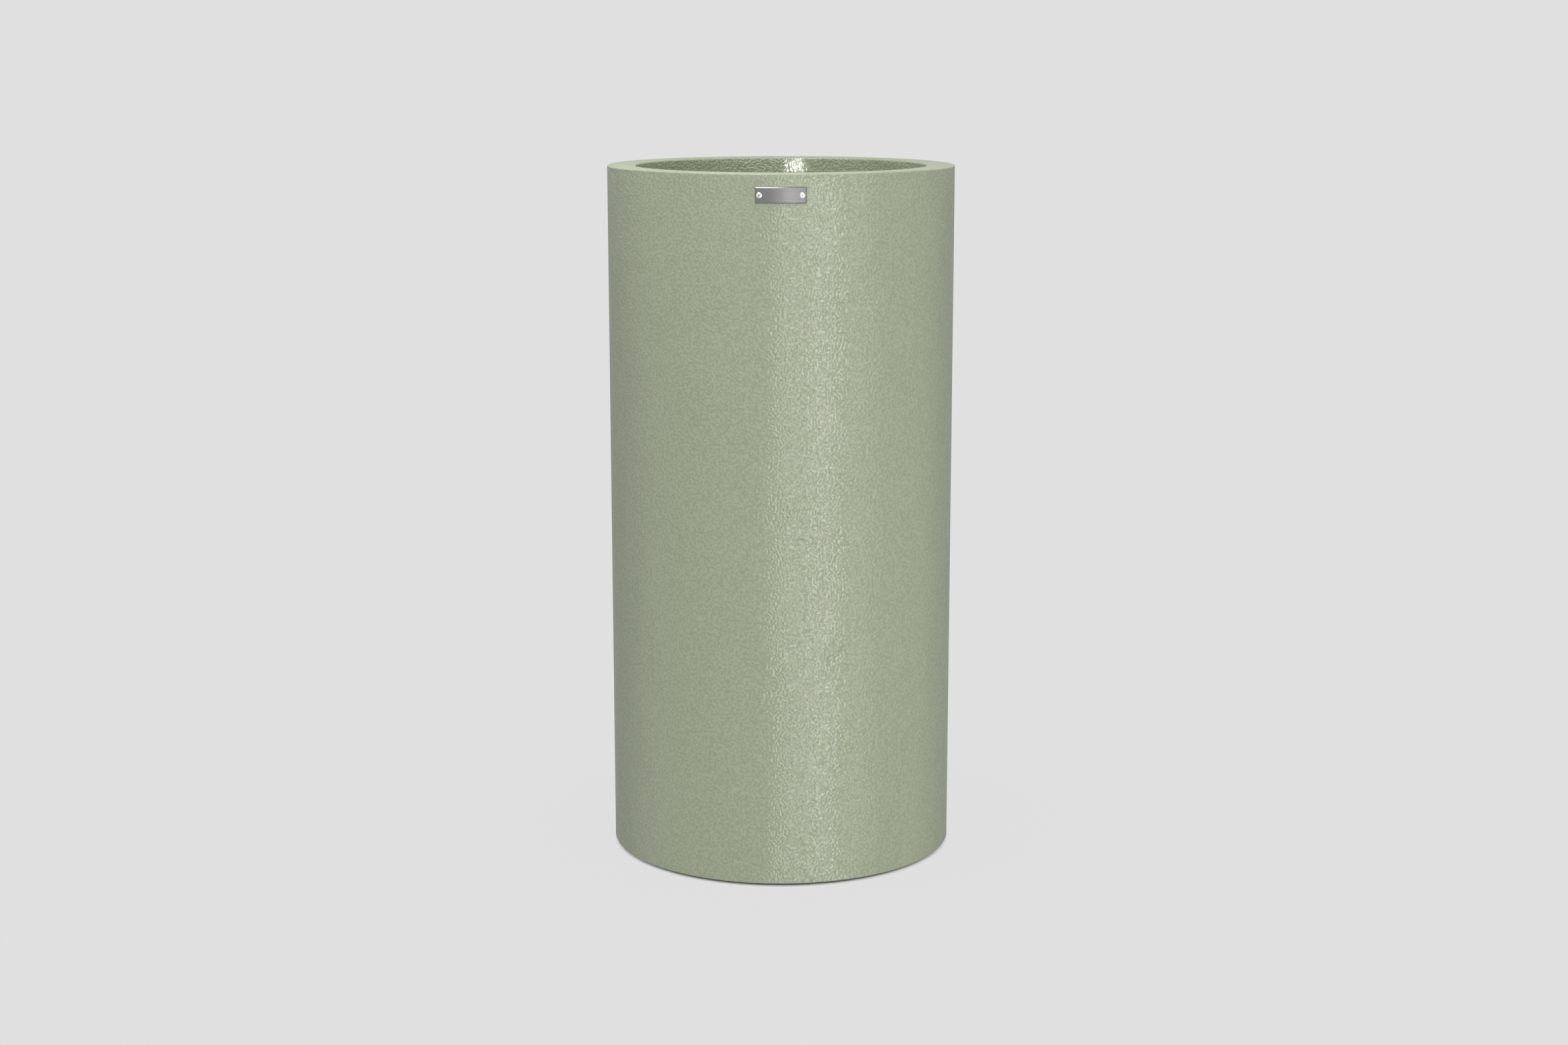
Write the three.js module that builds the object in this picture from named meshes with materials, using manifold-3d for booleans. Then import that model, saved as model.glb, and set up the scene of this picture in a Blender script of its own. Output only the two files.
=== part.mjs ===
// A tall cylindrical floor planter in moulded fibreglass, painted sage green.
//
// The wall and its folded-in rim are one thin moulding. A recessed base panel is bonded inside the
// foot of the wall and stands on four screwed-on rubber feet. A ledge ring bonded half way up carries
// a lift-out planting shelf, and a rubber bung closes the drain hole in the base. A bevelled metal
// plate is riveted to the front, just under the rim.
//
// Units are millimetres, +Z is up, the front faces -Y, and the origin is on the floor under the axis.

import * as THREE from "three";
import { mergeVertices } from "three/addons/utils/BufferGeometryUtils.js";
import Module from "manifold-3d";

const wasm = await Module();
wasm.setup();

// ---- driving dimensions ----

const diameter = 500;
const bodyHeight = 1000; // the painted wall, from its lower edge to the rim
const laminate = 5; // thickness of the fibreglass everywhere but the floors
const floorGap = 4; // the feet hold the wall this far off the floor
const rimWidth = 40;
const rimSkirtDepth = 60; // how far the folded rim turns down inside
const baseRecess = 10; // the base panel sits this far up inside the wall
const plantingDepth = 450; // from the rim down to the top of the shelf
const bondGap = 0.5; // line of adhesive between a bonded part and the wall
const seatGap = 0.3; // between parts that rest on each other

const wallSegments = 80;
const innerSegments = 60;

// ---- sizes that follow from them ----

const outerRadius = diameter / 2;
const boreRadius = outerRadius - laminate;
const mouthRadius = outerRadius - rimWidth;
const rimTop = floorGap + bodyHeight;
const bondRadius = boreRadius - bondGap;

const baseThickness = 6;
const baseUnderside = floorGap + baseRecess;
const baseTop = baseUnderside + baseThickness;
const baseFlangeHeight = 50;

const shelfThickness = 8;
const shelfTop = rimTop - plantingDepth;
const shelfUnderside = shelfTop - shelfThickness;
const shelfRadius = mouthRadius - 4; // clears the rim when it is lifted out
const shelfSkirtDepth = 20;
const ledgeTop = shelfUnderside - seatGap;
const ledgeInnerRadius = 188;
const ledgeFlangeHeight = 50;

const drainRadius = 14;
const footCircle = 200; // radius on which the four feet stand
const boss = { radius: 15, height: 8 };
const foot = { radius: 20, taper: 2, recessRadius: 8, recessDepth: 7 };
const screw = { shankRadius: 2.4, headRadius: 4.6, headHeight: 3, socketRadius: 1.8, socketDepth: 1.6 };
const screwReach = 12; // depth of the screw holes in the bosses

const plate = { width: 70, height: 22, thickness: 1.5, bevelWidth: 1.3, bevelDepth: 1, drop: 17.5 };
const plateBack = outerRadius + seatGap;
const plateFront = plateBack + plate.thickness;
const plateCentreZ = rimTop - plate.drop - plate.height / 2;
const rivet = { shankRadius: 2, headRadius: 4, headHeight: 1.5, stubRadius: 1.1 };
const rivetSpacing = 58.4;
const rivetAngle = Math.asin(rivetSpacing / 2 / plateFront); // each side of the front, seen from the axis

// ---- materials ----

function finish(color, roughness, metalness) {
  return new THREE.MeshStandardMaterial({ color, roughness, metalness });
}
const sagePaint = finish(0x9ba38c, 0.5, 0);
const rawLaminate = finish(0x6f7368, 0.75, 0);
const blackRubber = finish(0x232323, 0.85, 0);
const brushedSteel = finish(0xb4b4b2, 0.35, 1);
const rivetAluminium = finish(0xd2d2d0, 0.3, 1);
const zincSteel = finish(0x9a9a98, 0.4, 1);

// ---- shaping helpers ----

// The outline through corners [x, y, radius], each rounded by an arc of that radius. It closes on itself.
function roundedOutline(corners, arcSteps) {
  const points = [];
  corners.forEach(([x, y, radius = 0], i) => {
    const corner = new THREE.Vector2(x, y);
    if (!radius) {
      points.push(corner);
      return;
    }
    const [beforeX, beforeY] = corners[(i + corners.length - 1) % corners.length];
    const [afterX, afterY] = corners[(i + 1) % corners.length];
    const towardsBefore = new THREE.Vector2(beforeX, beforeY).sub(corner).normalize();
    const towardsAfter = new THREE.Vector2(afterX, afterY).sub(corner).normalize();
    const halfAngle = Math.acos(towardsBefore.dot(towardsAfter)) / 2;
    const inward = towardsBefore.clone().add(towardsAfter).normalize();
    const centre = corner.clone().addScaledVector(inward, radius / Math.sin(halfAngle));
    const from = corner.clone().addScaledVector(towardsBefore, radius / Math.tan(halfAngle)).sub(centre);
    const to = corner.clone().addScaledVector(towardsAfter, radius / Math.tan(halfAngle)).sub(centre);
    const turn = Math.atan2(from.cross(to), from.dot(to));
    for (let step = 0; step <= arcSteps; step++) {
      points.push(from.clone().rotateAround(new THREE.Vector2(), (turn * step) / arcSteps).add(centre));
    }
  });
  return [...points, points[0].clone()];
}

// A solid of revolution about +Z. The profile gives [radius, height, corner radius].
function revolve(corners, segments, arcSteps = 2) {
  return new THREE.LatheGeometry(roundedOutline(corners, arcSteps), segments).rotateX(Math.PI / 2);
}

// A prism standing on z = low, with the outline that the shape gives in plan.
function prism(shape, low, high, curveSegments = 6) {
  const options = { depth: high - low, bevelEnabled: false, curveSegments };
  return new THREE.ExtrudeGeometry(shape, options).translate(0, 0, low);
}

function rectangle(width, depth) {
  return new THREE.Shape([
    new THREE.Vector2(-width / 2, -depth / 2),
    new THREE.Vector2(width / 2, -depth / 2),
    new THREE.Vector2(width / 2, depth / 2),
    new THREE.Vector2(-width / 2, depth / 2),
  ]);
}

// A slot with round ends, its length along X.
function slotOutline(length, width) {
  const reach = (length - width) / 2;
  const shape = new THREE.Shape();
  shape.absarc(reach, 0, width / 2, -Math.PI / 2, Math.PI / 2);
  shape.absarc(-reach, 0, width / 2, Math.PI / 2, (3 * Math.PI) / 2);
  return shape;
}

function rod(radius, low, high, segments = 16) {
  return new THREE.CylinderGeometry(radius, radius, high - low, segments)
    .rotateX(Math.PI / 2)
    .translate(0, 0, (low + high) / 2);
}

function toSolid(geometry) {
  const bare = geometry.clone();
  bare.deleteAttribute("normal");
  bare.deleteAttribute("uv");
  const merged = mergeVertices(bare, 1e-4);
  return new wasm.Manifold(
    new wasm.Mesh({
      numProp: 3,
      vertProperties: merged.getAttribute("position").array,
      triVerts: new Uint32Array(merged.index.array),
    }),
  );
}

function toGeometry(solid) {
  const mesh = solid.getMesh();
  const geometry = new THREE.BufferGeometry();
  geometry.setAttribute("position", new THREE.BufferAttribute(mesh.vertProperties, 3));
  geometry.setIndex(new THREE.BufferAttribute(mesh.triVerts, 1));
  geometry.computeVertexNormals();
  return geometry;
}

const join = (first, ...others) =>
  toGeometry(others.reduce((made, other) => made.add(toSolid(other)), toSolid(first)));
const cut = (body, ...cutters) =>
  toGeometry(cutters.reduce((made, cutter) => made.subtract(toSolid(cutter)), toSolid(body)));
const overlapOf = (first, second) => toGeometry(toSolid(first).intersect(toSolid(second)));

// Angles in degrees, evenly spaced round the axis.
const around = (count, start = 0) => Array.from({ length: count }, (_, i) => start + (360 * i) / count);

// The geometry moved out from the axis along +X, then turned round +Z.
function placed(geometry, radius, degrees) {
  return geometry.translate(radius, 0, 0).rotateZ(THREE.MathUtils.degToRad(degrees));
}

function part(name, geometry, material) {
  const mesh = new THREE.Mesh(geometry, material);
  mesh.name = name;
  return mesh;
}

// Drills for the two rivet holes, square to the wall.
function rivetHoles() {
  return [-1, 1].map((side) =>
    rod(rivet.shankRadius + seatGap, boreRadius - laminate, outerRadius + laminate, 12)
      .rotateX(Math.PI / 2)
      .rotateZ(side * rivetAngle)
      .translate(0, 0, plateCentreZ),
  );
}

// ---- the painted moulding ----

function outerShell() {
  const skirtFoot = rimTop - rimSkirtDepth;
  const moulding = revolve(
    [
      [outerRadius, floorGap, 2],
      [outerRadius, rimTop, 3],
      [mouthRadius, rimTop, 4],
      [mouthRadius, skirtFoot, 1.5],
      [mouthRadius + laminate, skirtFoot, 1.5],
      [mouthRadius + laminate, rimTop - laminate, 4],
      [boreRadius, rimTop - laminate, 4],
      [boreRadius, floorGap, 1.5],
    ],
    wallSegments,
  );
  return part("outer_shell", cut(moulding, ...rivetHoles()), sagePaint);
}

// ---- base, feet and drain ----

// A floor with an upturned flange for bonding, stiffened by ribs that run out to the foot bosses.
function basePanel() {
  const pan = revolve(
    [
      [drainRadius, baseUnderside],
      [bondRadius, baseUnderside, 3],
      [bondRadius, baseUnderside + baseFlangeHeight],
      [bondRadius - laminate, baseUnderside + baseFlangeHeight],
      [bondRadius - laminate, baseTop, 5],
      [drainRadius, baseTop],
    ],
    innerSegments,
  );
  const ribWidth = 10;
  const ribStart = 3 * drainRadius; // water runs between the ribs to the drain
  const ribOutline = rectangle(footCircle - ribStart, ribWidth);
  const stiffeners = around(4, 45).flatMap((angle) => [
    placed(prism(ribOutline, baseTop - 1, baseTop + boss.height), (footCircle + ribStart) / 2, angle),
    placed(rod(boss.radius, baseTop - 1, baseTop + boss.height), footCircle, angle),
  ]);
  const screwHole = rod(screw.shankRadius + seatGap, baseUnderside - 1, baseUnderside + screwReach, 12);
  const screwHoles = around(4, 45).map((angle) => placed(screwHole.clone(), footCircle, angle));
  return part("base_panel", cut(join(pan, ...stiffeners), ...screwHoles), rawLaminate);
}

// A tapered rubber foot, with a deep counterbore that keeps the screw head off the floor.
function rubberFoot(name, angle) {
  const top = baseUnderside - seatGap;
  const holeRadius = screw.shankRadius + seatGap;
  const geometry = revolve(
    [
      [foot.recessRadius, 0],
      [foot.radius - foot.taper, 0, 1.5],
      [foot.radius, top],
      [holeRadius, top],
      [holeRadius, foot.recessDepth],
      [foot.recessRadius, foot.recessDepth],
    ],
    20,
  );
  return part(name, placed(geometry, footCircle, angle), blackRubber);
}

// A pan-head screw that runs up through the foot into a boss on the base panel.
function footScrew(name, angle) {
  const { shankRadius, headRadius, headHeight, socketRadius, socketDepth } = screw;
  const underHead = foot.recessDepth - seatGap;
  const face = underHead - headHeight;
  const tip = baseUnderside + screwReach - 1;
  const geometry = revolve(
    [
      [0, tip],
      [0, face + socketDepth],
      [socketRadius, face + socketDepth],
      [socketRadius, face],
      [headRadius, face, 1.2],
      [headRadius, underHead],
      [shankRadius, underHead],
      [shankRadius, tip - shankRadius],
    ],
    12,
  );
  return part(name, placed(geometry, footCircle, angle), zincSteel);
}

// A hollow rubber bung: a domed head under the base, a stem with two sealing ribs, and a fin to pull.
function drainBung() {
  const seat = baseUnderside - seatGap;
  const head = { radius: 21, rimHeight: 2.5, height: 4 };
  const rib = { radius: drainRadius - 0.4, height: 4, depth: 1.2 };
  const coreRadius = rib.radius - rib.depth;
  const stemTop = seat + 19;
  const plug = revolve(
    [
      [0, seat - head.height],
      [head.radius - 5, seat - head.height, 3],
      [head.radius, seat - head.rimHeight, 1],
      [head.radius, seat, 0.6],
      [coreRadius, seat],
      [coreRadius, seat + 2],
      [rib.radius, seat + 3],
      [rib.radius, seat + 3 + rib.height / 2],
      [coreRadius, seat + 3 + rib.height],
      [coreRadius, seat + 6 + rib.height],
      [rib.radius, seat + 7 + rib.height],
      [coreRadius - 1, stemTop, 0.8],
      [coreRadius - 4, stemTop],
      [coreRadius - 4, seat + 3],
      [0, seat + 3],
    ],
    20,
  );
  const fin = prism(slotOutline(head.radius, 3), seat - head.height - 6, seat - head.height + 1, 4);
  return part("drain_bung", join(plug, fin), blackRubber);
}

// ---- ledge and lift-out shelf ----

// A channel-section ring: bonded flange, flat seat, and a short lip that stiffens its inner edge.
function shelfLedge() {
  const ring = revolve(
    [
      [bondRadius, ledgeTop - ledgeFlangeHeight],
      [bondRadius, ledgeTop, 2],
      [ledgeInnerRadius, ledgeTop, 3],
      [ledgeInnerRadius, ledgeTop - 15],
      [ledgeInnerRadius + laminate, ledgeTop - 15],
      [ledgeInnerRadius + laminate, ledgeTop - laminate, 2],
      [bondRadius - laminate, ledgeTop - laminate, 4],
      [bondRadius - laminate, ledgeTop - ledgeFlangeHeight],
    ],
    innerSegments,
  );
  return part("shelf_ledge", ring, rawLaminate);
}

const fingerSlot = { length: 84, width: 30, fromAxis: 128 };
const shelfSkirtRadius = ledgeInnerRadius - 4; // drops inside the ledge, so the shelf can't slide about

// A disc with a locating skirt and radial ribs underneath, drain holes, and two slots to lift it by.
function insertShelf() {
  const disc = revolve(
    [
      [0, shelfUnderside],
      [shelfRadius, shelfUnderside, 1.5],
      [shelfRadius, shelfTop, 2.5],
      [0, shelfTop],
    ],
    innerSegments,
  );
  const skirtFoot = shelfUnderside - shelfSkirtDepth;
  const skirt = revolve(
    [
      [shelfSkirtRadius - laminate, shelfUnderside + 1],
      [shelfSkirtRadius - laminate, skirtFoot],
      [shelfSkirtRadius, skirtFoot, 1.5],
      [shelfSkirtRadius, shelfUnderside + 1],
    ],
    innerSegments,
  );
  const hubRadius = 26;
  const hub = rod(hubRadius, skirtFoot, shelfUnderside + 1, 20);
  const ribLength = shelfSkirtRadius - laminate / 2;
  const ribWidth = 6;
  const ribs = around(6).map((angle) =>
    placed(prism(rectangle(ribLength, ribWidth), skirtFoot, shelfUnderside + 1), ribLength / 2, angle),
  );
  const drainHoleRadius = 6;
  const drainHole = () => rod(drainHoleRadius, skirtFoot - 1, shelfTop + 1, 12);
  const innerHoles = around(6, 30).map((angle) => placed(drainHole(), 70, angle));
  const outerHoles = around(12, 15).map((angle) => placed(drainHole(), 160, angle));
  const slotAcross = prism(slotOutline(fingerSlot.length, fingerSlot.width), skirtFoot - 1, shelfTop + 1);
  slotAcross.rotateZ(Math.PI / 2);
  const slots = [90, 270].map((angle) => placed(slotAcross.clone(), fingerSlot.fromAxis, angle));
  const body = join(disc, skirt, hub, ...ribs);
  const holed = cut(body, drainHole(), ...innerHoles, ...outerHoles, ...slots);
  return part("insert_shelf", holed, rawLaminate);
}

// ---- plate and rivets ----

// The plate follows the wall's curve. All four edges are bevelled.
function namePlate() {
  const { height, width, bevelWidth, bevelDepth } = plate;
  const low = plateCentreZ - height / 2;
  const curvedBand = revolve(
    [
      [plateBack, low],
      [plateFront - bevelDepth, low],
      [plateFront, low + bevelWidth],
      [plateFront, low + height - bevelWidth],
      [plateFront - bevelDepth, low + height],
      [plateBack, low + height],
    ],
    2 * wallSegments,
  );
  const half = width / 2;
  const endFace = Math.sqrt(plateFront ** 2 - half ** 2); // how far forward the plate's face is at its ends
  const blank = new THREE.Shape();
  blank.moveTo(-half, -boreRadius);
  blank.lineTo(-half, -endFace + bevelDepth);
  blank.lineTo(-half + 2 * bevelWidth, -endFace - bevelDepth);
  blank.lineTo(-half + 2 * bevelWidth, -plateFront - 1);
  blank.lineTo(half - 2 * bevelWidth, -plateFront - 1);
  blank.lineTo(half - 2 * bevelWidth, -endFace - bevelDepth);
  blank.lineTo(half, -endFace + bevelDepth);
  blank.lineTo(half, -boreRadius);
  const curved = overlapOf(curvedBand, prism(blank, low - 1, low + height + 1));
  return part("nameplate", cut(curved, ...rivetHoles()), brushedSteel);
}

// The rivet's pieces are turned about +Z, head up, with the plate's face at height 0. This group
// stands them in their holes, square to the wall.
function inPlate(side, ...meshes) {
  const onFront = new THREE.Group();
  onFront.position.set(0, -plateFront, plateCentreZ);
  onFront.rotation.x = Math.PI / 2;
  onFront.add(...meshes);
  const turned = new THREE.Group();
  turned.rotation.z = side * rivetAngle;
  return turned.add(onFront);
}

const grip = plateFront - boreRadius; // the plate and the wall together
const tail = { behind: 4, stubHead: 6.5 }; // how far the rivet and its stub stand behind the wall

// The rivet is a tube: a domed head in front, a shank, and a bulb pulled up behind the wall.
function rivetBody(name) {
  const { shankRadius, headRadius, headHeight, stubRadius } = rivet;
  const bore = stubRadius + 0.2;
  const geometry = revolve(
    [
      [bore, seatGap + headHeight],
      [bore, -grip - tail.behind],
      [shankRadius + 0.4, -grip - tail.behind, 0.4],
      [shankRadius + 1.2, -grip - tail.behind / 2, 0.8],
      [shankRadius + 0.8, -grip - seatGap, 0.2],
      [shankRadius, -grip - seatGap],
      [shankRadius, seatGap],
      [headRadius, seatGap],
      [headRadius, seatGap + 0.4, 0.3],
      [headRadius - 1.6, seatGap + headHeight, 1.2],
    ],
    12,
  );
  return part(name, geometry, rivetAluminium);
}

// What is left of the pulling stem: a stub inside the rivet, snapped off below the head's face.
function rivetStub(name) {
  const snappedAt = rivet.headHeight - 0.6;
  const bulbRadius = rivet.stubRadius + 0.9;
  const geometry = revolve(
    [
      [0, snappedAt],
      [0, -grip - tail.stubHead],
      [bulbRadius, -grip - tail.stubHead, 0.6],
      [bulbRadius, -grip - tail.behind - seatGap],
      [rivet.stubRadius, -grip - tail.behind - seatGap],
      [rivet.stubRadius, snappedAt],
    ],
    12,
  );
  return part(name, geometry, zincSteel);
}

// ---- assembly ----

const planter = new THREE.Group();
planter.add(outerShell(), basePanel(), drainBung(), shelfLedge(), insertShelf(), namePlate());
around(4, 45).forEach((angle, i) => {
  planter.add(rubberFoot(`rubber_foot_${i + 1}`, angle), footScrew(`foot_screw_${i + 1}`, angle));
});
planter.add(inPlate(-1, rivetBody("rivet_left"), rivetStub("rivet_stub_left")));
planter.add(inPlate(1, rivetBody("rivet_right"), rivetStub("rivet_stub_right")));

export default planter;
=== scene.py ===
# A tall cylindrical fibreglass planter in stippled sage paint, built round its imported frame.
# Lengths are in metres. The planter stands on z = 0 and its riveted plate faces -Y.

import math

import bmesh
import bpy
from mathutils import Matrix, Vector, noise


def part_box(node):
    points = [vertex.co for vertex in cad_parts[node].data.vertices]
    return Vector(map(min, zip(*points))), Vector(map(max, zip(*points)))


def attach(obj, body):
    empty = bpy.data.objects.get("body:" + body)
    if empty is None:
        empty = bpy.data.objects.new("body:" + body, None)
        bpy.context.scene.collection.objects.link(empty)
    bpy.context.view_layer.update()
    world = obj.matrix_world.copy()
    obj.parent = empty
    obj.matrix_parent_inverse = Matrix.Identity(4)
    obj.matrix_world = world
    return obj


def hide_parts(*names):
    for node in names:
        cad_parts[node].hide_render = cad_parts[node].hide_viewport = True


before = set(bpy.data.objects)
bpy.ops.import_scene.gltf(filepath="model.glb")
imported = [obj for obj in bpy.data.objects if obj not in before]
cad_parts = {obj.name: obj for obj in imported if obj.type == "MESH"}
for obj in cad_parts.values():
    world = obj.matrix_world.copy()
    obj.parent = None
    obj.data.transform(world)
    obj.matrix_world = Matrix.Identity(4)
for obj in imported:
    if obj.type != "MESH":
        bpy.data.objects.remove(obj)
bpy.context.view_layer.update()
studio = bpy.context.scene
mm = 0.001

camera = {
    "place": (0.0043, -3.6669, 1.1913),
    "lookDown": 11.004,
    "lens": 57.93,
    "filmWidth": 36,
    "farthest": 100,
}

shot = bpy.data.objects.new("camera", bpy.data.cameras.new("camera"))
studio.collection.objects.link(shot)
shot.data.sensor_width = camera["filmWidth"]
shot.data.lens = camera["lens"]
shot.data.clip_end = camera["farthest"]
shot.location = camera["place"]
shot.rotation_euler = (math.radians(90 - camera["lookDown"]), 0, 0)
studio.camera = shot
print("camera set")

# what the planter's pieces share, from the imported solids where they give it
wallLow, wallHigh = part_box("outer_shell")
baseLow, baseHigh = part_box("base_panel")
ledgeLow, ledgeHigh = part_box("shelf_ledge")
shelfLow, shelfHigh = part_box("insert_shelf")
plateLow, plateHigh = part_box("nameplate")
laminate = 5 * mm
rimWidth = 40 * mm
skirtDepth = 60 * mm
outerRadius = wallHigh.x
boreRadius = outerRadius - laminate
mouthRadius = outerRadius - rimWidth
rimTop = wallHigh.z
skirtFoot = rimTop - skirtDepth
plateFront = -plateLow.y
bondRadius = baseHigh.x


class Wire:
    # a socket, so that sums on it are written as Python ones
    def __init__(self, wiring, socket):
        self.wiring = wiring
        self.socket = socket

    def combined(self, operation, *values):
        return self.wiring.add("ShaderNodeMath", {"operation": operation}, dict(enumerate(values)))

    def __add__(self, other):
        return self.combined("ADD", self, other)

    def __radd__(self, other):
        return self.combined("ADD", other, self)

    def __sub__(self, other):
        return self.combined("SUBTRACT", self, other)

    def __rsub__(self, other):
        return self.combined("SUBTRACT", other, self)

    def __mul__(self, other):
        return self.combined("MULTIPLY", self, other)

    def __rmul__(self, other):
        return self.combined("MULTIPLY", other, self)

    def larger(self, other):
        return self.combined("MAXIMUM", self, other)

    def at(self, output):
        # another output of the same node
        return Wire(self.wiring, self.socket.node.outputs[output])


class Wiring:
    # the nodes of one material, or of the world
    def __init__(self, owner):
        owner.use_nodes = True
        self.tree = owner.node_tree
        self.tree.nodes.clear()

    def add(self, kind, settings=None, values=None):
        node = self.tree.nodes.new(kind)
        for key, value in (settings or {}).items():
            setattr(node, key, value)
        for key, value in (values or {}).items():
            if isinstance(value, Wire):
                self.tree.links.new(value.socket, node.inputs[key])
            else:
                node.inputs[key].default_value = value
        return Wire(self, node.outputs[0]) if node.outputs else node

    def place(self):
        return self.add("ShaderNodeTexCoord").at("Object")

    def stretched(self, place, scale, turn=(0, 0, 0)):
        values = {"Vector": place, "Scale": scale, "Rotation": turn}
        return self.add("ShaderNodeMapping", None, values)

    def cloud(self, place, size, detail=2.0, rough=0.5):
        # noise from 0 to 1, with features of about that size
        values = {"Vector": place, "Scale": 1 / size, "Detail": detail, "Roughness": rough}
        return self.add("ShaderNodeTexNoise", None, values)

    def ease(self, value, low=0.3, high=0.7):
        # a smooth step from 0 at low to 1 at high: most of a cloud lies between 0.3 and 0.7
        settings = {"interpolation_type": "SMOOTHSTEP"}
        values = {"Value": value, "From Min": low, "From Max": high}
        return self.add("ShaderNodeMapRange", settings, values)

    def blend(self, share, first, second):
        settings = {"data_type": "RGBA", "blend_type": "MIX"}
        return self.add("ShaderNodeMix", settings, {0: share, 6: first, 7: second}).at(2)

    def mixed(self, share, first, second):
        # the first shader where the share is 0, the second where it is 1
        return self.add("ShaderNodeMixShader", None, {0: share, 1: first, 2: second})

    def raised(self, height, distance, under=None):
        values = {"Height": height, "Distance": distance, "Strength": 1.0}
        if under:
            values["Normal"] = under
        return self.add("ShaderNodeBump", None, values)

    def fromAxis(self, place):
        # how far a place is from the Z axis
        flat = self.add("ShaderNodeVectorMath", {"operation": "MULTIPLY"}, {0: place, 1: (1, 1, 0)})
        return self.add("ShaderNodeVectorMath", {"operation": "LENGTH"}, {0: flat}).at("Value")

    def upAxis(self, place):
        return self.add("ShaderNodeSeparateXYZ", None, {0: place}).at("Z")

    def surface(self, plain, varied):
        # a Principled shader: plain values on its own sockets, and what varies over the surface
        shader = self.add("ShaderNodeBsdfPrincipled", None, {**plain, **varied})
        self.add("ShaderNodeOutputMaterial", None, {"Surface": shader})


def finishNamed(name):
    finish = bpy.data.materials.new(name)
    return finish, Wiring(finish)


def tint(red, green, blue):
    # a colour as it shows on screen, 0 to 255, made linear
    linear = []
    for share in (red / 255, green / 255, blue / 255):
        linear.append(share / 12.92 if share < 0.04045 else ((share + 0.055) / 1.055) ** 2.4)
    return (*linear, 1.0)


def rawLaminate(wiring, place):
    # chopped strands under resin: colour, roughness and two heights
    look = {
        "resin": tint(96, 100, 86),
        "strand": tint(142, 146, 128),
        "strandWidth": 3.5 * mm,
        "strandRun": (1, 1, 0.06),
        "strandTurns": ((0.4, 0.2, 0.3), (1.3, 0.9, 2.0), (2.2, 1.7, 0.9), (0.2, 2.4, 1.5)),
        "strandCut": (0.56, 0.68),
        "strandShare": 0.75,
        "stain": tint(112, 108, 88),
        "stainSize": 60 * mm,
        "stainCut": (0.35, 0.75),
        "stainShare": 0.35,
        "lump": 14 * mm,
        "roughness": 0.42,
        "strandRoughness": 0.15,
        "stainRoughness": 0.2,
    }
    strands = None
    for turn in look["strandTurns"]:
        run = wiring.stretched(place, look["strandRun"], turn)
        bundle = wiring.ease(wiring.cloud(run, look["strandWidth"], detail=1.0), *look["strandCut"])
        strands = bundle if strands is None else strands.larger(bundle)
    stain = wiring.cloud(place, look["stainSize"], detail=3.0)
    stained = wiring.ease(stain, *look["stainCut"]) * look["stainShare"]
    colour = wiring.blend(strands * look["strandShare"], look["resin"], look["strand"])
    colour = wiring.blend(stained, colour, look["stain"])
    roughness = look["roughness"] + strands * look["strandRoughness"]
    roughness = roughness + (stain - 0.5) * look["stainRoughness"]
    lumps = wiring.cloud(place, look["lump"])
    return colour, roughness, strands, lumps


def laminateFinish():
    look = {"gloss": 1.5, "strandDepth": 0.18 * mm, "lumpDepth": 1.2 * mm}
    finish, wiring = finishNamed("bareLaminate")
    colour, roughness, strands, lumps = rawLaminate(wiring, wiring.place())
    relief = wiring.raised(lumps, look["lumpDepth"])
    relief = wiring.raised(strands, look["strandDepth"], relief)
    varied = {"Base Color": colour, "Roughness": roughness, "Normal": relief}
    wiring.surface({"IOR": look["gloss"]}, varied)
    return finish


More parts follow.
